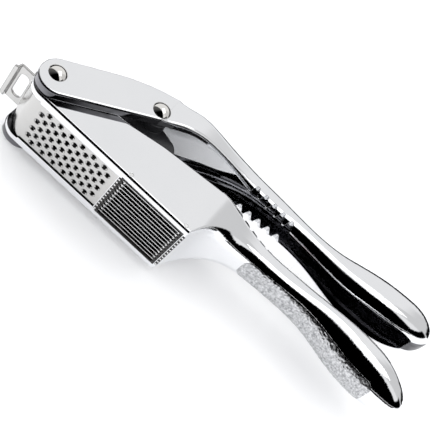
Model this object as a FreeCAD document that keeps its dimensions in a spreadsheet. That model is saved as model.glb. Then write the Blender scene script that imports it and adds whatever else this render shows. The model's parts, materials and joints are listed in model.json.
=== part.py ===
import FreeCAD, Part
import os
import Sketcher

# Two-handled garlic press with a mincing chamber, a slicing chamber and a nutcracker gap.
# It lies on its side: X runs from the nose to the handle tips, Y is the pressing direction
# (the perforated underside faces -Y) and Z runs across the press, up from the worktop.
# Every body is drawn about the mid-plane of the press and then lifted by its Placement.

Vector = FreeCAD.Vector
doc = FreeCAD.newDocument("garlic_press")

# ---------------------------------------------------------------- driving dimensions
SIZES = {
    # where the press sits in its own frame
    "origin_shift_x": 97.55,
    "origin_shift_y": 36.26,
    "mid_height": 25.15,
    # pivots
    "hinge_x": 1.2,
    "hinge_y": 11.2,
    "bolt_x": 42.5,
    "bolt_y": 35.8,
    "shank_rad": 2.75,
    "pivot_clearance": 0.05,
    "dome_rad": 4.35,
    "dome_rise": 2.15,
    "dome_gap": 0.05,
    # lower casting
    "casting_width": 36.5,
    "ear_front": -5.6,
    "ear_round": 8.3,
    "chamber_end": 86.0,
    "wall_top_front": 19.4,
    "wall_top_mid": 21.6,
    "wall_top_mid_x": 34.6,
    "wall_knee_x": 54.2,
    "wall_knee": 25.9,
    "wall_top_rear": 30.0,
    "divider_top": 18.0,
    "casting_edge": 1.2,
    "cavity_width": 27.7,
    "mince_front": 6.2,
    "mince_back": 47.4,
    "front_wall": 1.8,
    "slice_front": 51.6,
    "slice_back": 84.4,
    "rail_gap": 29.6,
    "lip_height": 0.5,
    "groove_top": 1.8,
    "groove_end": 49.5,
    "window_front": 2.8,
    "window_back": 48.7,
    "overrun": 2.0,
    "tooth_pitch": 5.5,
    "tooth_mouth": 6.4,
    "tooth_root": 1.2,
    "lower_tooth_x": 100.8,
    "lower_tooth_floor": 30.6,
    "upper_tooth_x": 97.7,
    "upper_tooth_floor": 54.3,
    # lever
    "lever_width": 45.9,
    "fork_gap": 37.3,
    "fork_end": 45.0,
    "fork_end_low": 31.3,
    "fork_end_top": 47.8,
    "nose_front": -6.3,
    "nose_bottom": 1.1,
    "nose_round": 8.6,
    "heel_x": 5.6,
    "heel_round": 8.0,
    "nose_top": 15.5,
    "nose_top_round": 10.0,
    "back_low_x": 22.0,
    "back_low": 36.9,
    "back_high_x": 34.0,
    "back_high": 43.8,
    "back_round": 60.0,
    "gap_step_x": 35.5,
    "gap_step": 41.6,
    "gap_bend_x": 32.0,
    "gap_end": 50.0,
    "gap_roof_rise": 1.3,
    "cheek_edge": 1.0,
    # strainer tray
    "tray_width": 29.3,
    "tray_bottom": 0.6,
    "tray_sheet": 1.1,
    "tray_back": 49.3,
    "tray_heel_x": 0.6,
    "tray_bend_x": -5.7,
    "tray_skew": 0.61,
    "heel_bend": 7.2,
    "tab_bend": 0.6,
    "tab_bottom": 10.75,
    "step_x": -12.8,
    "step_run": 0.5,
    "step_drop": 1.9,
    "lip_end": -15.3,
    "lip_back": -14.2,
    "step_back": -13.7,
    "tab_half": 11.15,
    "lip_half": 9.9,
    "side_ease": 0.55,
    "ease_back_x": 4.6,
    "ease_front_x": -2.6,
    "neck_x": -5.2,
    "hole_dia": 1.9,
    "hole_sink": 3.1,
    "sink_angle": 100.0,
    "hole_first_x": 7.6,
    "hole_row_step": 3.1,
    "hole_pitch": 5.5,
    "finger_slot_x": -9.0,
    "finger_slot_half": 5.1,
    "finger_slot_rad": 2.6,
    # slicer cassette
    "frame_front": 50.15,
    "frame_back": 84.85,
    "frame_width": 30.1,
    "frame_height": 4.2,
    "frame_wall": 1.3,
    "frame_side": 0.6,
    "slot_gap": 0.1,
    "recess_gap": 0.1,
    "rod_front_x": 52.2,
    "rod_back_x": 83.2,
    "rod_y": 1.9,
    "rod_rad": 0.95,
    "rod_clearance": 0.03,
    "blade_gauge": 0.45,
    "blade_pitch": 2.35,
    "blade_bottom": 0.5,
    "blade_top": 3.6,
    "blade_front": 50.6,
    "blade_back": 84.4,
    # plunger
    "plunger_width": 27.1,
    "boss_rad": 6.0,
    "boss_width": 36.7,
    "bridge": 22.8,
    "web_thick": 4.0,
    "arm_back_x": 60.7,
    "arm_back": 27.8,
    "shoulder_x": 57.0,
    "shoulder": 33.6,
    "arm_top": 37.8,
    "arm_front_x": 35.7,
    "arm_front": 37.2,
    "toe_x": 11.9,
    "toe": 10.8,
    "shoulder_round": 5.0,
    "toe_round": 1.0,
    "foot_front": 7.4,
    "foot_back": 46.4,
    "foot_thick": 3.4,
    "foot_low": 3.2,
    "foot_high": 6.3,
    "rib_slot": 4.4,
    "rib_floor": 0.8,
    "rib_pitch": 6.0,
    "pusher_front": 52.7,
    "pusher_back": 83.2,
    "pusher_low": 7.1,
    "pusher_high": 9.5,
    "pusher_top": 12.6,
    "pusher_seat": 0.35,
    "slit_width": 1.1,
    "slit_depth": 4.0,
}

BLADE_COUNT = 12
HOLE_ROWS = 13
TOOTH_COUNT = 4
UPPER_TOOTH_COUNT = 5
RIB_SLOTS = 4

# Cross-sections of the cast handles, one row per station along X:
# distance, half width, top, bottom, top corner radius, bottom corner radius.
# The first section of each stands a hair proud of the block that it grows from.
LOWER_SECTIONS = [
    (86.0, 18.27, 30.02, -0.02, 1.05, 1.05),
    (90.0, 17.6, 31.6, 7.4, 2.5, 3.5),
    (95.0, 15.6, 33.0, 12.8, 3.5, 5.5),
    (102.0, 12.6, 33.9, 17.0, 4.0, 6.5),
    (111.0, 10.0, 33.4, 20.0, 3.5, 6.0),
    (121.0, 8.8, 32.6, 21.3, 3.0, 5.0),
    (134.0, 8.5, 33.2, 22.0, 3.0, 5.0),
    (147.0, 9.1, 33.8, 21.8, 3.5, 6.5),
    (159.0, 10.6, 34.0, 19.9, 4.0, 8.8),
    (171.0, 12.1, 33.8, 16.6, 4.5, 10.8),
    (183.0, 12.7, 33.2, 14.6, 5.0, 11.4),
    (193.0, 12.3, 31.6, 14.2, 5.0, 10.8),
    (201.0, 10.4, 29.2, 14.8, 5.0, 8.4),
    (207.0, 7.2, 26.6, 16.4, 4.0, 5.0),
    (209.9, 4.2, 24.4, 18.3, 2.6, 2.7),
    (211.2, 1.8, 22.8, 20.0, 1.1, 1.1),
]
UPPER_SECTIONS = [
    (45.0, 22.97, 47.82, 31.28, 0.85, 0.85),
    (56.0, 22.2, 51.8, 39.0, 2.2, 1.6),
    (66.0, 19.6, 55.2, 44.4, 3.2, 1.5),
    (76.0, 15.6, 58.3, 48.2, 4.3, 1.5),
    (86.0, 12.2, 60.8, 50.1, 5.0, 2.0),
    (96.0, 10.0, 62.4, 50.4, 5.5, 3.0),
    (108.0, 9.1, 63.2, 50.3, 6.0, 4.2),
    (122.0, 8.4, 63.2, 50.5, 6.0, 5.2),
    (136.0, 8.65, 62.8, 49.9, 6.0, 5.6),
    (148.0, 9.8, 63.8, 48.2, 6.8, 6.2),
    (160.0, 11.7, 66.5, 46.8, 8.2, 6.9),
    (172.0, 13.0, 69.1, 47.4, 9.4, 7.3),
    (184.0, 13.3, 70.6, 49.1, 9.8, 7.5),
    (194.0, 12.0, 71.0, 52.0, 9.0, 6.8),
    (200.5, 9.6, 69.4, 54.9, 7.4, 5.6),
    (204.3, 6.4, 67.0, 57.8, 4.8, 4.2),
    (206.0, 2.6, 64.6, 60.4, 1.6, 1.6),
]
# Hollows inside the handles, open upward in the lower one and downward in the upper one.
LOWER_HOLLOW = [
    (126.0, 5.8, 38.0, 26.2, 1.0, 2.5),
    (147.0, 6.3, 38.0, 25.6, 1.0, 2.8),
    (159.0, 7.8, 38.0, 23.8, 1.0, 3.8),
    (171.0, 9.3, 38.0, 20.8, 1.0, 5.0),
    (183.0, 9.9, 38.0, 18.8, 1.0, 5.5),
    (193.0, 9.5, 37.0, 18.6, 1.0, 5.0),
    (201.0, 7.2, 35.0, 19.8, 1.0, 4.0),
    (205.0, 4.0, 33.0, 22.0, 1.0, 2.5),
]
UPPER_HOLLOW = [
    (46.0, 18.65, 45.2, 22.0, 2.5, 1.0),
    (56.0, 18.6, 48.8, 30.0, 3.5, 1.0),
    (66.0, 16.8, 52.3, 37.0, 4.5, 1.0),
    (76.0, 13.0, 55.4, 42.0, 5.0, 1.0),
    (86.0, 9.7, 57.9, 45.0, 5.0, 1.0),
    (96.0, 7.4, 59.8, 46.0, 4.5, 1.0),
    (108.0, 6.1, 60.6, 46.0, 4.0, 1.0),
    (122.0, 4.9, 60.6, 46.0, 3.5, 1.0),
    (136.0, 4.9, 60.2, 45.0, 3.5, 1.0),
    (148.0, 5.7, 61.2, 44.0, 4.2, 1.0),
    (160.0, 7.2, 63.9, 42.0, 5.6, 1.0),
    (172.0, 8.2, 66.5, 43.0, 6.8, 1.0),
    (184.0, 8.4, 67.8, 45.0, 7.0, 1.0),
    (192.0, 7.4, 67.4, 47.0, 5.8, 1.0),
    (198.0, 4.6, 64.6, 50.0, 3.2, 1.0),
]
SECTION_FIELDS = ("at", "half", "top", "low", "round_top", "round_low")


class Dim:
    """A length that carries both its value and the sheet expression it comes from."""

    def __init__(self, value, text):
        self.value = value
        self.text = text

    @staticmethod
    def of(other):
        return other if isinstance(other, Dim) else Dim(float(other), repr(float(other)))

    def __add__(self, other):
        other = Dim.of(other)
        return Dim(self.value + other.value, "(%s + %s)" % (self.text, other.text))

    def __sub__(self, other):
        other = Dim.of(other)
        return Dim(self.value - other.value, "(%s - %s)" % (self.text, other.text))

    def __mul__(self, other):
        other = Dim.of(other)
        return Dim(self.value * other.value, "(%s * %s)" % (self.text, other.text))

    def __truediv__(self, other):
        other = Dim.of(other)
        return Dim(self.value / other.value, "(%s / %s)" % (self.text, other.text))

    def __neg__(self):
        return Dim(-self.value, "(-%s)" % self.text)


# ---------------------------------------------------------------- the sheet
sheet = doc.addObject("Spreadsheet::Sheet", "Sizes")
sheet_row = 0


def put(alias, value):
    """Write one named size into the sheet and return it as a Dim."""
    global sheet_row
    sheet_row += 1
    sheet.set("A%d" % sheet_row, alias)
    sheet.set("B%d" % sheet_row, repr(float(value)))
    sheet.setAlias("B%d" % sheet_row, alias)
    return Dim(float(value), "Sizes." + alias)


size = {name: put(name, value) for name, value in SIZES.items()}


def put_sections(prefix, rows):
    """Write a table of cross-sections and return it as rows of Dims."""
    return [
        [put("%s_%s_%s" % (prefix, "abcdefghijklmnopqrst"[i], field), value)
         for field, value in zip(SECTION_FIELDS, row)]
        for i, row in enumerate(rows)
    ]


lower_sections = put_sections("lower", LOWER_SECTIONS)
upper_sections = put_sections("upper", UPPER_SECTIONS)
lower_hollow = put_sections("lowhollow", LOWER_HOLLOW)
upper_hollow = put_sections("uphollow", UPPER_HOLLOW)
doc.recompute()


# ---------------------------------------------------------------- drawing helpers
def bind(target, path, dim):
    """Set one property and tie it to the sheet."""
    target.setExpression(path, Dim.of(dim).text)


def new_body(label, x=None, y=None, z=None):
    """Start a sub-part and place it in the frame of the press."""
    body = doc.addObject("PartDesign::Body", label)
    body.Label = label
    bind(body, ".Placement.Base.x", Dim.of(x or 0.0) - size["origin_shift_x"])
    bind(body, ".Placement.Base.y", Dim.of(y or 0.0) - size["origin_shift_y"])
    bind(body, ".Placement.Base.z", Dim.of(z or 0.0) + size["mid_height"])
    return body


def origin_feature(body, role):
    """Return one of the body's own planes or axes."""
    return [f for f in body.Origin.OriginFeatures if f.Role == role][0]


def new_sketch(body, name, plane="XY_Plane", offset=None):
    """Attach a sketch to one of the body's planes, moved along the plane's normal."""
    sketch = body.newObject("Sketcher::SketchObject", name)
    sketch.AttachmentSupport = [(origin_feature(body, plane), "")]
    sketch.MapMode = "FlatFace"
    if offset is not None:
        sketch.AttachmentOffset = FreeCAD.Placement(Vector(0, 0, Dim.of(offset).value),
                                                    FreeCAD.Rotation())
        bind(sketch, ".AttachmentOffset.Base.z", offset)
    return sketch


def pin_point(sketch, geo, end, x, y):
    """Hold one end of an edge at a place that is tied to the sheet."""
    for kind, dim in (("DistanceX", x), ("DistanceY", y)):
        dim = Dim.of(dim)
        index = sketch.addConstraint(Sketcher.Constraint(kind, -1, 1, geo, end, dim.value))
        bind(sketch, "Constraints[%d]" % index, dim)


def add_polygon(sketch, corners):
    """Closed polygon whose corners are tied to the sheet."""
    corners = [(Dim.of(x), Dim.of(y)) for x, y in corners]
    first = sketch.GeometryCount
    count = len(corners)
    for i in range(count):
        start = corners[i]
        end = corners[(i + 1) % count]
        sketch.addGeometry(Part.LineSegment(Vector(start[0].value, start[1].value, 0),
                                            Vector(end[0].value, end[1].value, 0)))
    for i in range(count):
        following = first + (i + 1) % count
        sketch.addConstraint(Sketcher.Constraint("Coincident", first + i, 2, following, 1))
    for i in range(count):
        pin_point(sketch, first + i, 1, *corners[i])


def add_circle(sketch, x, y, radius):
    """Circle whose centre and radius are tied to the sheet."""
    x, y, radius = Dim.of(x), Dim.of(y), Dim.of(radius)
    centre = Vector(x.value, y.value, 0)
    geo = sketch.addGeometry(Part.Circle(centre, Vector(0, 0, 1), radius.value))
    pin_point(sketch, geo, 3, x, y)
    index = sketch.addConstraint(Sketcher.Constraint("Radius", geo, radius.value))
    bind(sketch, "Constraints[%d]" % index, radius)


def add_section(sketch, half, top, low, round_top, round_low):
    """Rounded rectangle across the handle: sketch x is height, sketch y is width."""
    w, t, b = half.value, top.value, low.value
    rt, rb = round_top.value, round_low.value
    runs = [
        ((b, w - rb), (b, rb - w)),
        ((b + rb, -w), (t - rt, -w)),
        ((t, rt - w), (t, w - rt)),
        ((t - rt, w), (b + rb, w)),
    ]
    centres = [(b + rb, rb - w, rb, 180), (t - rt, rt - w, rt, 270),
               (t - rt, w - rt, rt, 0), (b + rb, w - rb, rb, 90)]
    for (start, end), (cx, cy, radius, angle) in zip(runs, centres):
        sketch.addGeometry(Part.LineSegment(Vector(*start, 0), Vector(*end, 0)))
        ring = Part.Circle(Vector(cx, cy, 0), Vector(0, 0, 1), radius)
        first = FreeCAD.Units.Quantity("%f deg" % angle).getValueAs("rad").Value
        last = FreeCAD.Units.Quantity("%f deg" % (angle + 90)).getValueAs("rad").Value
        sketch.addGeometry(Part.ArcOfCircle(ring, first, last))
    for i in range(4):
        line, arc, following = 2 * i, 2 * i + 1, (2 * i + 2) % 8
        sketch.addConstraint(Sketcher.Constraint("Tangent", line, 2, arc, 1))
        sketch.addConstraint(Sketcher.Constraint("Tangent", arc, 2, following, 1))
    sketch.addConstraint(Sketcher.Constraint("Vertical", 0))
    sketch.addConstraint(Sketcher.Constraint("Vertical", 4))
    limits = [("DistanceX", 0, low), ("DistanceX", 4, top),
              ("DistanceY", 2, -half), ("DistanceY", 6, half)]
    for kind, geo, dim in limits:
        index = sketch.addConstraint(Sketcher.Constraint(kind, -1, 1, geo, 1, dim.value))
        bind(sketch, "Constraints[%d]" % index, dim)
    for geo, dim in ((1, round_low), (3, round_top), (5, round_top), (7, round_low)):
        index = sketch.addConstraint(Sketcher.Constraint("Radius", geo, dim.value))
        bind(sketch, "Constraints[%d]" % index, dim)


def pad(body, sketch, width):
    """Extrude a sketch evenly to both sides of its plane."""
    feature = body.newObject("PartDesign::Pad", sketch.Name + "_pad")
    feature.Profile = sketch
    feature.SideType = "Symmetric"
    bind(feature, "Length", width)
    doc.recompute()
    return feature


def pocket(body, sketch, width=None):
    """Cut a sketch evenly to both sides of its plane, or all the way through."""
    before = body.Shape.Volume
    feature = body.newObject("PartDesign::Pocket", sketch.Name + "_cut")
    feature.Profile = sketch
    feature.SideType = "Symmetric"
    if width is None:
        feature.Type = "ThroughAll"
    else:
        bind(feature, "Length", width)
    doc.recompute()
    if not body.Shape.Volume < before - 1e-6:
        raise RuntimeError("pocket removed nothing: " + feature.Name)
    return feature


def loft(body, prefix, rows, kind="PartDesign::AdditiveLoft"):
    """Run a smooth skin through a row of cross-sections."""
    sketches = []
    for i, (at, half, top, low, round_top, round_low) in enumerate(rows):
        sketch = new_sketch(body, "%s_section_%d" % (prefix, i), "YZ_Plane", at)
        add_section(sketch, half, top, low, round_top, round_low)
        sketches.append(sketch)
    doc.recompute()
    feature = body.newObject(kind, prefix + "_loft")
    feature.Profile = sketches[0]
    feature.Sections = sketches[1:]
    feature.Ruled = False
    doc.recompute()
    if feature.Shape.isNull() or "Invalid" in feature.State:
        raise RuntimeError("loft failed: " + prefix)
    return feature


def fillet(body, name, radius, chosen):
    """Round the edges of the body's tip that a test picks out."""
    tip = body.Tip
    names = ["Edge%d" % (i + 1) for i, edge in enumerate(tip.Shape.Edges) if chosen(edge)]
    if not names:
        raise RuntimeError("no edge to round for " + name)
    feature = body.newObject("PartDesign::Fillet", name)
    feature.Base = (tip, names)
    bind(feature, "Radius", radius)
    doc.recompute()
    if feature.Shape.isNull() or "Invalid" in feature.State:
        raise RuntimeError("cannot round " + name)
    return feature


def repeat(body, feature, axis, step, count):
    """Repeat a feature along one of the body's axes."""
    pattern = body.newObject("PartDesign::LinearPattern", feature.Name + "_row")
    pattern.Originals = [feature]
    pattern.Direction = (origin_feature(body, axis), [""])
    pattern.Occurrences = count
    bind(pattern, "Length", Dim.of(step) * (count - 1))
    body.Tip = pattern
    doc.recompute()
    return pattern


def upright_edge_at(x, y):
    """Test for a straight edge along Z through one corner of a side view."""
    def test(edge):
        box = edge.BoundBox
        return (box.XLength < 0.01 and box.YLength < 0.01
                and abs(box.XMin - x) < 0.05 and abs(box.YMin - y) < 0.05)
    return test


# ---------------------------------------------------------------- lower casting
def build_body_frame():
    """Ears, two open chambers, neck and hollow-backed lower handle in one casting."""
    body = new_body("body_frame")
    ear, end = size["ear_front"], size["chamber_end"]
    side = new_sketch(body, "casting_side")
    add_polygon(side, [
        (ear, 0), (end, 0), (end, size["wall_top_rear"]),
        (size["wall_knee_x"], size["wall_knee"]),
        (size["wall_top_mid_x"], size["wall_top_mid"]),
        (ear, size["wall_top_front"]),
    ])
    pad(body, side, size["casting_width"])
    for name, y in (("ear_low_round", 0.0), ("ear_top_round", size["wall_top_front"].value)):
        fillet(body, name, size["ear_round"], upright_edge_at(ear.value, y))
    half = size["casting_width"].value / 2
    fillet(body, "casting_edges", size["casting_edge"], lambda edge: (
        edge.BoundBox.ZLength < 0.01 and abs(abs(edge.BoundBox.ZMin) - half) < 0.01
        and edge.BoundBox.XMin < end.value - 0.1))
    loft(body, "lower_handle", lower_sections)

    ears = new_sketch(body, "ear_gap")
    past = size["overrun"]
    front_wall = size["mince_front"] - size["front_wall"]
    above = size["wall_top_rear"] + past
    add_polygon(ears, [(ear - past, -past), (front_wall, -past), (front_wall, above),
                       (ear - past, above)])
    pocket(body, ears, size["rail_gap"])

    groove = new_sketch(body, "tray_groove")
    low, high = size["lip_height"], size["groove_top"]
    add_polygon(groove, [(ear - past, low), (size["groove_end"], low),
                         (size["groove_end"], high), (ear - past, high)])
    pocket(body, groove, size["rail_gap"])

    for name, front, back, floor, top in (
            ("mince_well", size["mince_front"], size["mince_back"], -past, above),
            ("tray_window", size["window_front"], size["window_back"], -past, high),
            ("slice_well", size["slice_front"], size["slice_back"], -past, above),
            ("divider_step", size["mince_back"] - past, size["slice_front"] + past,
             size["divider_top"], above)):
        well = new_sketch(body, name)
        add_polygon(well, [(front, floor), (back, floor), (back, top), (front, top)])
        pocket(body, well, size["cavity_width"])

    recess = new_sketch(body, "cassette_recess")
    gap = size["recess_gap"]
    front, back = size["frame_front"] - gap, size["frame_back"] + gap
    add_polygon(recess, [(front, -past), (back, -past), (back, size["frame_height"] + gap),
                         (front, size["frame_height"] + gap)])
    pocket(body, recess, size["frame_width"] + gap * 2)

    hinge = new_sketch(body, "hinge_bore")
    add_circle(hinge, size["hinge_x"], size["hinge_y"],
               size["shank_rad"] + size["pivot_clearance"])
    pocket(body, hinge)
    rods = new_sketch(body, "rod_bores")
    for x in (size["rod_front_x"], size["rod_back_x"]):
        add_circle(rods, x, size["rod_y"], size["rod_rad"] + size["rod_clearance"])
    pocket(body, rods)

    tooth = new_sketch(body, "lower_tooth")
    x, floor = size["lower_tooth_x"], size["lower_tooth_floor"]
    root, mouth = size["tooth_root"] / 2, size["tooth_mouth"] / 2
    add_polygon(tooth, [(x - root, floor), (x + root, floor),
                        (x + mouth, floor + 6), (x - mouth, floor + 6)])
    repeat(body, pocket(body, tooth), "X_Axis", size["tooth_pitch"], TOOTH_COUNT)
    loft(body, "lower_hollow", lower_hollow, "PartDesign::SubtractiveLoft")
    return body


# ---------------------------------------------------------------- upper casting
def build_upper_handle():
    """Fork with two cheeks that runs back into a hollow handle, open underneath."""
    body = new_body("upper_handle")
    nose, low, end = size["nose_front"], size["nose_bottom"], size["fork_end"]
    side = new_sketch(body, "cheek_side")
    heel, top = size["heel_x"], size["nose_top"]
    add_polygon(side, [
        (nose, low), (heel, low), (end, size["fork_end_low"]), (end, size["fork_end_top"]),
        (size["back_high_x"], size["back_high"]), (size["back_low_x"], size["back_low"]),
        (nose, top),
    ])
    pad(body, side, size["lever_width"])
    corners = [
        ("nose_low_round", nose, low, size["nose_round"]),
        ("nose_heel_round", heel, low, size["heel_round"]),
        ("nose_top_round", nose, top, size["nose_top_round"]),
        ("back_round_front", size["back_low_x"], size["back_low"], size["back_round"]),
        ("back_round_rear", size["back_high_x"], size["back_high"], size["back_round"]),
    ]
    for name, x, y, radius in corners:
        fillet(body, name, radius, upright_edge_at(x.value, y.value))
    half = size["lever_width"].value / 2
    fillet(body, "cheek_edges", size["cheek_edge"], lambda edge: (
        edge.BoundBox.ZLength < 0.01 and abs(abs(edge.BoundBox.ZMin) - half) < 0.01
        and edge.BoundBox.XMin < end.value - 0.1))
    loft(body, "upper_handle", upper_sections)

    gap = new_sketch(body, "fork_gap")
    roof = upper_hollow[0][2] + size["gap_roof_rise"]
    past = size["overrun"] * 3
    above = size["fork_end_top"] + past
    add_polygon(gap, [
        (nose - past, -past), (size["gap_end"], -past), (size["gap_end"], roof),
        (size["gap_step_x"], size["gap_step"]), (size["gap_bend_x"], above),
        (nose - past, above),
    ])
    pocket(body, gap, size["fork_gap"])
    loft(body, "upper_hollow", upper_hollow, "PartDesign::SubtractiveLoft")

    bores = new_sketch(body, "pivot_bores")
    for name in ("hinge", "bolt"):
        add_circle(bores, size[name + "_x"], size[name + "_y"],
                   size["shank_rad"] + size["pivot_clearance"])
    pocket(body, bores)

    tooth = new_sketch(body, "upper_tooth")
    x, floor = size["upper_tooth_x"], size["upper_tooth_floor"]
    root, mouth = size["tooth_root"] / 2, size["tooth_mouth"] / 2
    add_polygon(tooth, [(x - root, floor), (x + root, floor),
                        (x + mouth, floor - 6), (x - mouth, floor - 6)])
    repeat(body, pocket(body, tooth), "X_Axis", size["tooth_pitch"], UPPER_TOOTH_COUNT)
    return body


# ---------------------------------------------------------------- pivots
def build_rivet(label, x, y):
    """Shank across the press with a domed head on each side."""
    body = new_body(label, x, y)
    sketch = new_sketch(body, label + "_half", "XZ_Plane")
    shank, dome = size["shank_rad"], size["dome_rad"]
    seat = size["lever_width"] / 2 + size["dome_gap"]
    crown = seat + size["dome_rise"]
    corners = [(Dim.of(0), -crown), (dome, -seat), (shank, -seat), (shank, seat),
               (dome, seat), (Dim.of(0), crown)]
    points = [Vector(a.value, b.value, 0) for a, b in corners]
    rise = size["dome_rise"].value
    bend = (dome.value ** 2 + rise ** 2) / (2 * rise)
    slope = 0.5 * dome.value / bend
    bulge = Vector(bend * slope, crown.value - bend + bend * (1 - slope ** 2) ** 0.5, 0)
    dip = Vector(bulge.x, -bulge.y, 0)
    sketch.addGeometry(Part.Arc(points[0], dip, points[1]))
    for start, end in zip(points[1:4], points[2:5]):
        sketch.addGeometry(Part.LineSegment(start, end))
    sketch.addGeometry(Part.Arc(points[4], bulge, points[5]))
    sketch.addGeometry(Part.LineSegment(points[5], points[0]))
    arc_ends = {0: 1 if sketch.Geometry[0].StartPoint.isEqual(points[0], 1e-6) else 2,
                4: 1 if sketch.Geometry[4].StartPoint.isEqual(points[4], 1e-6) else 2}
    lower_start, upper_start = arc_ends[0], arc_ends[4]
    joins = [(0, 3 - lower_start, 1, 1), (1, 2, 2, 1), (2, 2, 3, 1),
             (3, 2, 4, upper_start), (4, 3 - upper_start, 5, 1), (5, 2, 0, lower_start)]
    for join in joins:
        sketch.addConstraint(Sketcher.Constraint("Coincident", *join))
    places = [(0, lower_start), (1, 1), (2, 1), (3, 1), (4, upper_start), (5, 1)]
    for (geo, end), (a, b) in zip(places, corners):
        pin_point(sketch, geo, end, a, b)
    for geo in (0, 4):
        sketch.addConstraint(Sketcher.Constraint("PointOnObject", geo, 3, -2))
    feature = body.newObject("PartDesign::Revolution", label + "_turned")
    feature.Profile = sketch
    feature.ReferenceAxis = (sketch, ["V_Axis"])
    feature.Angle = 360.0
    doc.recompute()
    return body


# ---------------------------------------------------------------- plunger
def build_plunger():
    """Ribbed arm that hangs from the second rivet, with the mincing foot in front."""
    body = new_body("plunger")
    x, y = size["bolt_x"], size["bolt_y"]
    front, back = size["foot_front"], size["foot_back"]
    low, high, thick = size["foot_low"], size["foot_high"], size["foot_thick"]
    side = new_sketch(body, "plunger_side")
    seat = size["pusher_top"] + size["pusher_seat"]
    over, bridge = size["pusher_front"] - size["pusher_seat"], size["bridge"]
    add_polygon(side, [
        (front, low), (back, high), (back, bridge), (over, bridge), (over, seat),
        (size["pusher_back"], seat), (size["pusher_back"], seat + size["web_thick"]),
        (size["arm_back_x"], size["arm_back"]), (size["shoulder_x"], size["shoulder"]),
        (x, size["arm_top"]), (size["arm_front_x"], size["arm_front"]),
        (size["toe_x"], size["toe"]), (front, low + thick),
    ])
    pad(body, side, size["plunger_width"])
    fillet(body, "shoulder_curve", size["shoulder_round"],
           upright_edge_at(size["shoulder_x"].value, size["shoulder"].value))
    fillet(body, "toe_curve", size["toe_round"], upright_edge_at(front.value, low.value))
    boss = new_sketch(body, "boss")
    add_circle(boss, x, y, size["boss_rad"])
    pad(body, boss, size["boss_width"])
    bore = new_sketch(body, "boss_bore")
    add_circle(bore, x, y, size["shank_rad"] + size["pivot_clearance"])
    pocket(body, bore)
    slot = new_sketch(body, "rib_slot", "XY_Plane", -size["rib_pitch"] * 1.5)
    web, ring = size["web_thick"], size["boss_rad"] + size["rib_floor"]
    add_polygon(slot, [
        (front + web, low + thick + size["rib_floor"]),
        (back - web, high + thick + size["rib_floor"]), (back - web, y - ring),
        (x - ring / 2, y - ring), (x - ring, y - ring / 2), (x - ring, y + ring),
        (front + web, y + ring),
    ])
    repeat(body, pocket(body, slot, size["rib_slot"]), "Z_Axis", size["rib_pitch"], RIB_SLOTS)
    return body


def build_slicer_pusher():
    """Comb that pushes cloves through the blades; its slits clear each blade."""
    body = new_body("slicer_pusher")
    front, back = size["pusher_front"], size["pusher_back"]
    side = new_sketch(body, "pusher_side")
    add_polygon(side, [(front, size["pusher_low"]), (back, size["pusher_high"]),
                       (back, size["pusher_top"] + size["pusher_seat"]),
                       (front, size["pusher_top"] + size["pusher_seat"])])
    pad(body, side, size["plunger_width"])
    first = -size["blade_pitch"] * ((BLADE_COUNT - 1) / 2)
    slit = new_sketch(body, "slit", "XY_Plane", first)
    past = size["overrun"]
    root = size["pusher_low"] + size["slit_depth"]
    add_polygon(slit, [
        (front - past, size["pusher_low"] - past), (back + past, size["pusher_low"] - past),
        (back + past, root), (front - past, root)])
    repeat(body, pocket(body, slit, size["slit_width"]), "Z_Axis", size["blade_pitch"],
           BLADE_COUNT)
    return body


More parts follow.
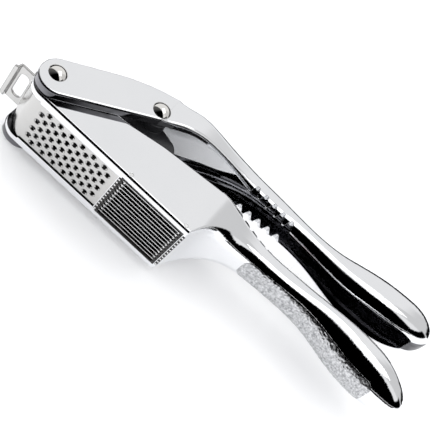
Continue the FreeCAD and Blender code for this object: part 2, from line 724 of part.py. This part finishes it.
# ---------------------------------------------------------------- strainer tray
def build_strainer_tray():
    """Perforated plate that bends up in front into a pull tab with a finger slot."""
    body = new_body("strainer_tray")
    low, sheet_thick, tab = size["tray_bottom"], size["tray_sheet"], size["tab_bottom"]
    back = size["tray_back"]
    heel, bend, skew = size["tray_heel_x"], size["tray_bend_x"], size["tray_skew"]
    step, lip_end, lowered = size["step_x"], size["lip_end"], tab - size["step_drop"]
    side = new_sketch(body, "tray_side")
    add_polygon(side, [
        (back, low), (heel, low), (bend, tab), (step, tab), (step - size["step_run"], lowered),
        (lip_end, lowered), (lip_end, lowered + sheet_thick),
        (size["lip_back"], lowered + sheet_thick), (size["step_back"], tab + sheet_thick),
        (bend + skew, tab + sheet_thick), (heel + skew, low + sheet_thick),
        (back, low + sheet_thick),
    ])
    pad(body, side, size["tray_width"])
    bends = [
        ("heel_outer", heel, low, size["heel_bend"]),
        ("heel_inner", heel + skew, low + sheet_thick, size["heel_bend"] - sheet_thick),
        ("tab_inner", bend, tab, size["tab_bend"]),
        ("tab_outer", bend + skew, tab + sheet_thick, size["tab_bend"] + sheet_thick),
    ]
    for name, x, y, radius in bends:
        fillet(body, name, radius, upright_edge_at(x.value, y.value))
    half, lip, edge = size["tab_half"], size["lip_half"], size["tray_width"] / 2
    wide, past, ease = edge + size["overrun"], lip_end - size["overrun"], size["side_ease"]
    trim = new_sketch(body, "side_trim", "XZ_Plane")
    for sign in (1, -1):
        add_polygon(trim, [
            (size["ease_back_x"], wide * sign), (size["ease_back_x"], (edge - ease) * sign),
            (size["ease_front_x"], (edge - ease * 2) * sign), (size["neck_x"], half * sign),
            (step, half * sign), (lip_end, lip * sign), (past, lip * sign), (past, wide * sign),
        ])
    pocket(body, trim)
    deep = sheet_thick * 2
    slot = new_sketch(body, "finger_slot", "XZ_Plane", -(tab + sheet_thick / 2))
    x, reach, radius = size["finger_slot_x"], size["finger_slot_half"], size["finger_slot_rad"]
    add_polygon(slot, [(x - radius, -reach), (x + radius, -reach),
                       (x + radius, reach), (x - radius, reach)])
    pocket(body, slot, deep)
    for name, z in (("slot_end_a", reach), ("slot_end_b", -reach)):
        end = new_sketch(body, name, "XZ_Plane", -(tab + sheet_thick / 2))
        add_circle(end, x, z, radius)
        pocket(body, end, deep)

    grid = new_sketch(body, "hole_grid", "XZ_Plane", -low)
    for row in range(HOLE_ROWS):
        count = 4 + row % 2
        row_x = size["hole_first_x"] + size["hole_row_step"] * row
        for i in range(count):
            add_circle(grid, row_x, size["hole_pitch"] * (i - (count - 1) / 2),
                       size["hole_dia"] / 2)
    doc.recompute()
    hole = body.newObject("PartDesign::Hole", "strainer_holes")
    hole.Profile = grid
    hole.DepthType = "ThroughAll"
    hole.HoleCutType = "Countersink"
    hole.HoleCutCustomValues = True
    bind(hole, "Diameter", size["hole_dia"])
    bind(hole, "HoleCutDiameter", size["hole_sink"])
    bind(hole, "HoleCutCountersinkAngle", size["sink_angle"])
    doc.recompute()
    return body


# ---------------------------------------------------------------- slicer cassette
def build_slicer_frame():
    """Open frame with slotted ends that holds the blades side by side."""
    body = new_body("slicer_frame")
    front, back, wall = size["frame_front"], size["frame_back"], size["frame_wall"]
    side = new_sketch(body, "frame_side")
    add_polygon(side, [(front, 0), (back, 0), (back, size["frame_height"]),
                       (front, size["frame_height"])])
    pad(body, side, size["frame_width"])
    window = new_sketch(body, "frame_window")
    past = size["overrun"]
    above = size["frame_height"] + past
    add_polygon(window, [(front + wall, -past), (back - wall, -past), (back - wall, above),
                         (front + wall, above)])
    pocket(body, window, size["frame_width"] - size["frame_side"] * 2)
    rods = new_sketch(body, "frame_bores")
    for x in (size["rod_front_x"], size["rod_back_x"]):
        add_circle(rods, x, size["rod_y"], size["rod_rad"] + size["rod_clearance"])
    pocket(body, rods)
    first = -size["blade_pitch"] * ((BLADE_COUNT - 1) / 2)
    slot = new_sketch(body, "blade_slot", "XY_Plane", first)
    gap = size["slot_gap"]
    reach, over, roof = size["blade_front"] - gap, size["blade_back"] + gap, size["blade_top"] + gap
    add_polygon(slot, [(reach, -past), (over, -past), (over, roof), (reach, roof)])
    repeat(body, pocket(body, slot, size["blade_gauge"] + gap), "Z_Axis", size["blade_pitch"],
           BLADE_COUNT)
    return body


def build_blade(number):
    """One thin blade, hung on both rods."""
    offset = size["blade_pitch"] * (number - (BLADE_COUNT - 1) / 2)
    body = new_body("slicer_blade_%02d" % (number + 1), 0.0, 0.0, offset)
    side = new_sketch(body, "blade_side_%02d" % (number + 1))
    front, back = size["blade_front"], size["blade_back"]
    add_polygon(side, [(front, size["blade_bottom"]), (back, size["blade_bottom"]),
                       (back, size["blade_top"]), (front, size["blade_top"])])
    for x in (size["rod_front_x"], size["rod_back_x"]):
        add_circle(side, x, size["rod_y"], size["rod_rad"] + size["rod_clearance"])
    pad(body, side, size["blade_gauge"])
    return body


def build_rods():
    """The two rods that carry the blades; their ends lie flush with the casting's sides."""
    rods = []
    length = size["casting_width"] - size["slot_gap"]
    for name in ("front", "back"):
        rod = doc.addObject("Part::Cylinder", "blade_rod_" + name)
        bind(rod, "Radius", size["rod_rad"])
        bind(rod, "Height", length)
        bind(rod, ".Placement.Base.x", size["rod_%s_x" % name] - size["origin_shift_x"])
        bind(rod, ".Placement.Base.y", size["rod_y"] - size["origin_shift_y"])
        bind(rod, ".Placement.Base.z", size["mid_height"] - length / 2)
        rods.append(rod)
    pair = doc.addObject("Part::Compound", "blade_rods")
    pair.Links = rods
    pair.Label = "blade_rods"
    doc.recompute()
    return pair


parts = [
    build_body_frame(),
    build_upper_handle(),
    build_rivet("hinge_rivet", size["hinge_x"], size["hinge_y"]),
    build_rivet("plunger_rivet", size["bolt_x"], size["bolt_y"]),
    build_plunger(),
    build_slicer_pusher(),
    build_strainer_tray(),
    build_slicer_frame(),
    build_rods(),
]
parts += [build_blade(number) for number in range(BLADE_COUNT)]
doc.recompute()

# ---------------------------------------------------------------- checks and export
for thing in doc.Objects:
    if "Invalid" in thing.State or "Error" in thing.State:
        raise RuntimeError("failed object: " + thing.Label)
os.makedirs("parts", exist_ok=True)
for part in parts:
    if part.Shape.isNull() or not part.Shape.isValid() or part.Shape.Volume <= 0:
        raise RuntimeError("bad shape: " + part.Label)
    part.Shape.exportStep(os.path.join("parts", part.Label + ".step"))
    box = part.Shape.BoundBox
    print("%-18s %9.1f mm3 x %.1f..%.1f y %.1f..%.1f z %.1f..%.1f solids %d" % (
        part.Label, part.Shape.Volume, box.XMin, box.XMax, box.YMin, box.YMax,
        box.ZMin, box.ZMax, len(part.Shape.Solids)))
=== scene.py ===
import bmesh
import bpy
import json
import math
from mathutils import Matrix, Vector
from mathutils import noise as mnoise
from mathutils.bvhtree import BVHTree


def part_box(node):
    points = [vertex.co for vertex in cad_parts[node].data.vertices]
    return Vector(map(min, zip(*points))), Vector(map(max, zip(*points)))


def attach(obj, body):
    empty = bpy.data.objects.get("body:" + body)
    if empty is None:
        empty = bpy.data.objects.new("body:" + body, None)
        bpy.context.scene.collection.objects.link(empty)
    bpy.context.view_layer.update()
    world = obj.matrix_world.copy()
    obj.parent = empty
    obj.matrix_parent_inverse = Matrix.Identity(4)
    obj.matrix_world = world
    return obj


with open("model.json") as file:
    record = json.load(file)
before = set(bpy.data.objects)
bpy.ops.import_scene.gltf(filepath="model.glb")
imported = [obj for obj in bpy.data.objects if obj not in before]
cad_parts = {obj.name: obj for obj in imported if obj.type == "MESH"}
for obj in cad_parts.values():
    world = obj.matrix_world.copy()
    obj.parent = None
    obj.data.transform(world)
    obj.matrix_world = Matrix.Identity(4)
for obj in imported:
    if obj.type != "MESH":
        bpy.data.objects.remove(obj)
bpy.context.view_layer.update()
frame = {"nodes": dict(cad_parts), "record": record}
nodes = frame["nodes"]


# places along the press and across it, metres
MID_HEIGHT = 0.02515
# HOLLOW_START, CHEEK_END, NO_ROOF and NO_CHEEK bound where shade is painted on the lever and the
# body.
HOLLOW_START = -0.0015
CHEEK_END = -0.0525
NO_ROOF = 1.0
NO_CHEEK = -1.0
GRIP_FROM = 0.0165
GRIP_TO = 0.0955
BLADE_COUNT = 12


# ---------------------------------------------------------------- node material helpers
def new_material(name):
    """Empty Principled material; returns the material, its node tree and the shader."""
    mat = bpy.data.materials.new(name)
    mat.use_nodes = True
    tree = mat.node_tree
    return mat, tree, tree.nodes["Principled BSDF"]


def noise(tree, coords, scale, detail=3.0, rough=0.5, stretch=(1, 1, 1)):
    """Noise over object coordinates, optionally stretched along an axis."""
    mapping = tree.nodes.new("ShaderNodeMapping")
    mapping.inputs["Scale"].default_value = stretch
    tree.links.new(coords, mapping.inputs["Vector"])
    node = tree.nodes.new("ShaderNodeTexNoise")
    node.inputs["Scale"].default_value = scale
    node.inputs["Detail"].default_value = detail
    node.inputs["Roughness"].default_value = rough
    tree.links.new(mapping.outputs["Vector"], node.inputs["Vector"])
    return node.outputs["Fac"]


def spread(tree, source, low, high):
    """Map a 0..1 value to a range."""
    node = tree.nodes.new("ShaderNodeMapRange")
    node.inputs["To Min"].default_value = low
    node.inputs["To Max"].default_value = high
    node.inputs["From Min"].default_value = 0.3
    node.inputs["From Max"].default_value = 0.7
    tree.links.new(source, node.inputs["Value"])
    return node.outputs["Result"]


def tint(tree, fac, dark, light):
    """Colour between dark and light by a 0..1 value."""
    node = tree.nodes.new("ShaderNodeMix")
    node.data_type = "RGBA"
    node.inputs["A"].default_value = (*dark, 1)
    node.inputs["B"].default_value = (*light, 1)
    tree.links.new(fac, node.inputs["Factor"])
    return node.outputs["Result"]


LONG_STREAKS = (0.35, 1, 1)
DEEP_SHADE = (0.006, 0.006, 0.007)
EDGE_SHADE = (0.03, 0.03, 0.03)


def metal(name, dark, light, rough_low, rough_high, grain=(1, 1, 1), grain_scale=900.0,
          metallic=1.0, edge=0.0004, mask=None, painted_shade_pale=(0.30, 0.30, 0.32), broad_scale=40.0,
          contrast=0.0, painted_edge_shade=0.0):
    """Metal with fine grain in its roughness and softened edges.

    mask paints shade and dark reflections on the surfaces that it selects, and the edge setting
    paints a dark line of shade along sharp edges.
    """
    mat, tree, shader = new_material(name)
    coords = tree.nodes.new("ShaderNodeTexCoord").outputs["Object"]
    shader.inputs["Metallic"].default_value = metallic
    fine = noise(tree, coords, grain_scale, 4.0, 0.6, grain)
    broad = noise(tree, coords, broad_scale, 2.0, 0.5)
    tree.links.new(spread(tree, fine, rough_low, rough_high), shader.inputs["Roughness"])
    shade = spread(tree, broad, 0.0, contrast) if contrast else broad
    colour = tint(tree, shade, dark, light)
    # Painted shade: the masked surfaces get a dark streaked colour in place of the shade and
    # dark reflections in hollows.
    if mask:
        mix = tree.nodes.new("ShaderNodeMix")
        mix.data_type = "RGBA"
        streaks = noise(tree, coords, 70.0, 3.0, 0.6, LONG_STREAKS)
        shade = tint(tree, spread(tree, streaks, 0.0, 1.0), DEEP_SHADE, painted_shade_pale)
        tree.links.new(shade, mix.inputs["B"])
        tree.links.new(colour, mix.inputs["A"])
        tree.links.new(mask(tree), mix.inputs["Factor"])
        colour = mix.outputs["Result"]
    rounded = tree.nodes.new("ShaderNodeBevel")
    rounded.samples = 6
    rounded.inputs["Radius"].default_value = edge
    tree.links.new(rounded.outputs["Normal"], shader.inputs["Normal"])
    # Painted shade: a dark line of colour along sharp edges stands in for the dark reflections
    # that rounded edges show.
    if painted_edge_shade:
        flat = tree.nodes.new("ShaderNodeNewGeometry")
        turn = tree.nodes.new("ShaderNodeVectorMath")
        turn.operation = "DOT_PRODUCT"
        tree.links.new(flat.outputs["Normal"], turn.inputs[0])
        tree.links.new(rounded.outputs["Normal"], turn.inputs[1])
        near_edge = tree.nodes.new("ShaderNodeMapRange")
        near_edge.inputs["From Min"].default_value = 0.99
        near_edge.inputs["From Max"].default_value = 0.93
        near_edge.inputs["To Max"].default_value = painted_edge_shade
        tree.links.new(turn.outputs["Value"], near_edge.inputs["Value"])
        edge_shade_mix = tree.nodes.new("ShaderNodeMix")
        edge_shade_mix.data_type = "RGBA"
        edge_shade_mix.inputs["B"].default_value = (*EDGE_SHADE, 1)
        tree.links.new(near_edge.outputs["Result"], edge_shade_mix.inputs["Factor"])
        tree.links.new(colour, edge_shade_mix.inputs["A"])
        colour = edge_shade_mix.outputs["Result"]
    tree.links.new(colour, shader.inputs["Base Color"])
    return mat


def math_node(tree, operation, first, second):
    """One Math node; each operand is a number or a socket."""
    node = tree.nodes.new("ShaderNodeMath")
    node.operation = operation
    for socket, value in zip(node.inputs, (first, second)):
        if isinstance(value, float):
            socket.default_value = value
        else:
            tree.links.new(value, socket)
    return node.outputs["Value"]


def painted_hollow_shade(tree, roof_start, edge_end):
    """Where shade and dark reflections are painted: 1 on walls facing the middle plane, the roof
    beyond roof_start along X, and edges that face down before edge_end; 0 elsewhere."""
    texture = tree.nodes.new("ShaderNodeTexCoord")
    place = tree.nodes.new("ShaderNodeSeparateXYZ")
    facing = tree.nodes.new("ShaderNodeSeparateXYZ")
    tree.links.new(texture.outputs["Object"], place.inputs["Vector"])
    tree.links.new(texture.outputs["Normal"], facing.inputs["Vector"])
    height = math_node(tree, "SUBTRACT", place.outputs["Z"], MID_HEIGHT)
    side = math_node(tree, "MULTIPLY", height, facing.outputs["Z"])
    inward = math_node(tree, "LESS_THAN", side, -0.0004)
    off_middle = math_node(tree, "ABSOLUTE", height, 0.0)
    near_middle = math_node(tree, "LESS_THAN", off_middle, 0.0042)
    down = math_node(tree, "LESS_THAN", facing.outputs["Y"], -0.25)
    beyond = math_node(tree, "GREATER_THAN", place.outputs["X"], roof_start)
    roof = math_node(tree, "MULTIPLY", math_node(tree, "MULTIPLY", near_middle, down), beyond)
    before = math_node(tree, "LESS_THAN", place.outputs["X"], edge_end)
    flat_down = math_node(tree, "LESS_THAN", facing.outputs["Y"], -0.55)
    cheek_edge = math_node(tree, "MULTIPLY", flat_down, before)
    return math_node(tree, "MAXIMUM", math_node(tree, "MAXIMUM", inward, roof), cheek_edge)


CHROME = ((0.84, 0.85, 0.87), (0.90, 0.905, 0.92), 0.035, 0.075)
chrome = metal("chrome", *CHROME)
# Painted shade: the lever is darkened on its inner walls, its roof past HOLLOW_START and the
# down-facing cheek edges before CHEEK_END; the body only on its inner walls.
lever_chrome_painted_shade = metal("lever_chrome_painted_shade", *CHROME, painted_edge_shade=0.5,
                     mask=lambda tree: painted_hollow_shade(tree, HOLLOW_START, CHEEK_END))
body_chrome_painted_shade = metal("body_chrome_painted_shade", *CHROME,
                    mask=lambda tree: painted_hollow_shade(tree, NO_ROOF, NO_CHEEK))
rivet = metal("rivet", (0.80, 0.78, 0.75), (0.88, 0.87, 0.85), 0.05, 0.09)
BRUSHED = (0.02, 1, 1)
# The tray's edges and hole rims get a painted line of shade.
tray = metal("tray_steel", (0.56, 0.555, 0.545), (0.66, 0.655, 0.645), 0.16, 0.26, BRUSHED,
             1400.0, edge=0.0005, painted_edge_shade=0.85)
blade = metal("blade_steel", (0.74, 0.74, 0.74), (0.84, 0.84, 0.84), 0.12, 0.2, BRUSHED,
              1600.0, edge=0.0002)
cassette = metal("cassette_dark", (0.012, 0.012, 0.012), (0.03, 0.028, 0.027), 0.3, 0.45,
                 metallic=0.2)
# Painted shade: the plunger is coloured near black to stand in for the shade and dark
# reflections inside the chamber.
plunger = metal("plunger_dark", (0.015, 0.015, 0.016), (0.03, 0.03, 0.033), 0.15, 0.25,
               metallic=0.3)
pusher = metal("pusher_plastic", (0.01, 0.01, 0.01), (0.02, 0.02, 0.02), 0.35, 0.5, metallic=0.0)

finish_of = {"cast_chrome": chrome, "rivet_steel": rivet, "tray_steel": tray,
             "blade_steel": blade, "cassette_dark": cassette, "plunger_dark": plunger,
             "pusher_plastic": pusher}
for entry in frame["record"]["subparts"]:
    obj = nodes[entry["node"]]
    obj.data.materials.clear()
    obj.data.materials.append(finish_of[entry["material_slot"]])
nodes["upper_handle"].data.materials[0] = lever_chrome_painted_shade
nodes["body_frame"].data.materials[0] = body_chrome_painted_shade


# ---------------------------------------------------------------- stippled grip patch
COARSE_GRAIN, FINE_GRAIN = 900.0, 2100.0


def stipple(x, z):
    """Height of the hammered texture above the casting, metres."""
    coarse = mnoise.noise(Vector((x * COARSE_GRAIN, z * COARSE_GRAIN, 0.3)))
    fine = mnoise.noise(Vector((x * FINE_GRAIN, z * FINE_GRAIN, 7.1)))
    return 0.00017 + 0.00015 * coarse + 0.00007 * fine


def grip_patch(body, x_from, x_to, half_from, half_to, corner, pitch, sink):
    """Patch that follows the underside of the lower handle, with its border sunk into it."""
    tree = BVHTree.FromObject(body, bpy.context.evaluated_depsgraph_get())
    to_body = body.matrix_world.inverted()
    below, upward = -0.08, Vector((0, 1, 0))
    mesh = bmesh.new()
    across = round(2 * half_to / pitch)
    along = round((x_to - x_from) / pitch)
    rows = []
    for i in range(along + 1):
        x = x_from + (x_to - x_from) * i / along
        half = half_from + (half_to - half_from) * math.sin(math.pi / 2 * i / along) ** 2
        end = min(x - x_from, x_to - x)
        if end < corner:
            half -= corner - math.sqrt(corner ** 2 - (corner - end) ** 2)
        row = []
        for j in range(across + 1):
            z = MID_HEIGHT + half * (2 * j / across - 1)
            hit, normal, _, _ = tree.ray_cast(to_body @ Vector((x, below, z)), upward)
            border = i in (0, along) or j in (0, across)
            lift = -sink if border else stipple(x, z)
            row.append(mesh.verts.new(body.matrix_world @ hit + normal * lift))
        rows.append(row)
    for low, high in zip(rows, rows[1:]):
        for j in range(across):
            mesh.faces.new((low[j], low[j + 1], high[j + 1], high[j]))
    data = bpy.data.meshes.new("grip_patch")
    bmesh.ops.recalc_face_normals(mesh, faces=mesh.faces)
    mesh.to_mesh(data)
    mesh.free()
    data.shade_smooth()
    patch = bpy.data.objects.new("grip_patch", data)
    bpy.context.scene.collection.objects.link(patch)
    patch.data.materials.append(grip)
    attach(patch, "press_body")


# ---------------------------------------------------------------- ends of the slicing blades
def blocks(name, places, half_size, mat):
    """Small bevelled boxes of one size, centred on the given places of the underside."""
    mesh = bmesh.new()
    for centre in places:
        made = bmesh.ops.create_cube(mesh, size=2.0)["verts"]
        bmesh.ops.scale(mesh, vec=half_size, verts=made)
        bmesh.ops.translate(mesh, vec=centre, verts=made)
    data = bpy.data.meshes.new(name)
    bmesh.ops.bevel(mesh, geom=mesh.edges[:], offset=0.00006, segments=2, affect="EDGES")
    mesh.to_mesh(data)
    mesh.free()
    piece = bpy.data.objects.new(name, data)
    bpy.context.scene.collection.objects.link(piece)
    piece.data.materials.append(mat)
    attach(piece, "press_body")


frame_low, frame_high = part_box("slicer_frame")
tray_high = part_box("strainer_tray")[1]
underside = frame_low[1]
row_x = ((tray_high[0] + frame_low[0]) / 2, frame_high[0] + 0.0010)
blade_z = []
for i in range(1, BLADE_COUNT + 1):
    blade_low, blade_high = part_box("slicer_blade_%02d" % i)
    blade_z.append((blade_low[2] + blade_high[2]) / 2)
centre_z = (blade_z[0] + blade_z[-1]) / 2
reach_z = abs(blade_z[-1] - blade_z[0]) / 2 + 0.0009
# Painted shade: dark strips across both ends of the cassette stand in for the shade in the gaps
# there; the blade ends sit on them.
blocks("blade_end_shade_strips", [Vector((x, underside, centre_z)) for x in row_x],
       Vector((0.0006, 0.00025, reach_z)), cassette)
blocks("blade_ends", [Vector((x, underside - 0.0001, z)) for x in row_x for z in blade_z],
       Vector((0.00045, 0.0003, 0.0005)), blade)

grip = metal("grip_stipple", (0.27, 0.275, 0.285), (0.72, 0.725, 0.74), 0.16, 0.26,
             broad_scale=1000.0, contrast=1.0)
grip_patch(nodes["body_frame"], GRIP_FROM, GRIP_TO, 0.0062, 0.0078, 0.004, 0.00026, 0.0002)


# ---------------------------------------------------------------- floor, surroundings and light
def mesh_piece(name, verts, faces, mat):
    """Linked object of one mesh and one material."""
    mesh = bpy.data.meshes.new(name)
    mesh.from_pydata(verts, [], faces)
    mesh.materials.append(mat)
    obj = bpy.data.objects.new(name, mesh)
    bpy.context.scene.collection.objects.link(obj)
    return obj


floor_mat, _, floor_shader = new_material("floor")
floor_shader.inputs["Base Color"].default_value = (0.92, 0.92, 0.92, 1)
floor_shader.inputs["Roughness"].default_value = 0.8
reach = 4.0
floor = mesh_piece("floor", [(-reach, -reach, 0), (reach, -reach, 0), (reach, reach, 0),
                             (-reach, reach, 0)], [(0, 1, 2, 3)], floor_mat)

world = bpy.data.worlds.new("studio")
bpy.context.scene.world = world
world.use_nodes = True
world.node_tree.nodes["Background"].inputs["Color"].default_value = (0.98, 0.985, 1, 1)
world.node_tree.nodes["Background"].inputs["Strength"].default_value = 1.42


def ease(value, low, high):
    """Smooth 0..1 step between low and high."""
    t = min(max((value - low) / (high - low), 0.0), 1.0)
    return t * t * (3 - 2 * t)


def window(value, low, high, soft):
    """1 between low and high, fading over soft at both ends."""
    return ease(value, low - soft, low) * (1 - ease(value, high, high + soft))


def studio_level(azimuth, elevation):
    """Brightness of the surroundings in one direction, degrees; azimuth runs 20..380."""
    level = 0.88
    # greyer card to the right, split by the turn from 380 back to 20
    side = window(azimuth, 8 + 360, 50 + 360, 14) + window(azimuth, 20, 50, 14)
    level -= 0.22 * min(side, 1.0) * window(elevation, 0, 62, 10)
    # dark flag behind the camera, a little lighter to its left
    flag = window(azimuth, 167, 333, 2) * window(elevation, 3, 92, 2)
    level += (0.10 * (1 - ease(azimuth, 175, 240)) - level) * flag
    # low dark flag to the right of the camera
    level *= 1 - window(azimuth, 333, 372, 6) * window(elevation, 3, 26, 4)
    # dark horizon behind the press
    level *= 1 - window(azimuth, 24, 160, 4) * (1 - ease(elevation, 9, 15))
    return level


def dome(radius=1.6, step=2, first=20):
    """Pale hemisphere with dark flags that draw the bands; step and first are in degrees."""
    verts, faces, levels = [], [], []
    across, up = 360 // step, 90 // step
    for j in range(up + 1):
        e = math.radians(j * step)
        for i in range(across + 1):
            azimuth = first + i * step
            a = math.radians(azimuth)
            verts.append((radius * math.cos(e) * math.cos(a), radius * math.cos(e) * math.sin(a),
                          radius * math.sin(e)))
            levels.append(studio_level(azimuth, j * step))
    for j in range(up):
        for i in range(across):
            k = j * (across + 1) + i
            faces.append((k, k + 1, k + across + 2, k + across + 1))
    reflection_only("surroundings", verts, faces, levels)


def reflection_only(name, verts, faces, levels):
    """Emitting stage mesh that neither the camera, diffuse light nor shadows see."""
    mat = bpy.data.materials.new(name)
    mat.use_nodes = True
    tree = mat.node_tree
    tree.nodes.clear()
    glow = tree.nodes.new("ShaderNodeEmission")
    level = tree.nodes.new("ShaderNodeVertexColor")
    level.layer_name = "level"
    tree.links.new(level.outputs["Color"], glow.inputs["Color"])
    out = tree.nodes.new("ShaderNodeOutputMaterial")
    tree.links.new(glow.outputs["Emission"], out.inputs["Surface"])
    obj = mesh_piece(name, verts, faces, mat)
    layer = obj.data.color_attributes.new("level", "FLOAT_COLOR", "POINT")
    for item, value in zip(layer.data, levels):
        item.color = (value, value, value, 1)
    obj.visible_camera = False
    obj.visible_diffuse = False
    obj.visible_shadow = False


def floor_strip(azimuth, near, far, level, height=0.0006, steps=24):
    """Dark ring sector just above the far floor, for the thin outline along far edges."""
    verts, faces = [], []
    for i in range(steps + 1):
        a = math.radians(azimuth[0] + (azimuth[1] - azimuth[0]) * i / steps)
        for reach in (near, far):
            verts.append((reach * math.cos(a), reach * math.sin(a), height))
    for i in range(steps):
        faces.append((2 * i, 2 * i + 1, 2 * i + 3, 2 * i + 2))
    reflection_only("far_floor", verts, faces, [level] * len(verts))


dome()
floor_strip((20, 160), 0.28, 1.55, 0.02)
floor_strip((168, 332), 0.24, 1.55, 0.02)


light = bpy.data.lights.new("overhead", "AREA")
light.shape = "RECTANGLE"
light.size, light.size_y = 1.0, 0.6
light.energy = 2
lamp = bpy.data.objects.new("overhead", light)
lamp.location = (0.25, 0.35, 1.3)
lamp.rotation_euler = (-Vector(lamp.location)).to_track_quat("-Z", "Y").to_euler()
bpy.context.scene.collection.objects.link(lamp)

# ---------------------------------------------------------------- camera
cam = bpy.data.cameras.new("camera")
cam.lens = 91.6
cam.sensor_width = 36
cam_obj = bpy.data.objects.new("camera", cam)
right = Vector((0.7299, 0.4902, 0.4764)).normalized()
forward = Vector((0.0599, 0.6485, -0.7589)).normalized()
up = right.cross(forward)
matrix = Matrix((right, up, -forward)).transposed().to_4x4()
matrix.translation = (-0.03595, -0.32146, 0.39685)
cam_obj.matrix_world = matrix
bpy.context.scene.collection.objects.link(cam_obj)
bpy.context.scene.camera = cam_obj
bpy.context.scene.view_settings.view_transform = "Standard"
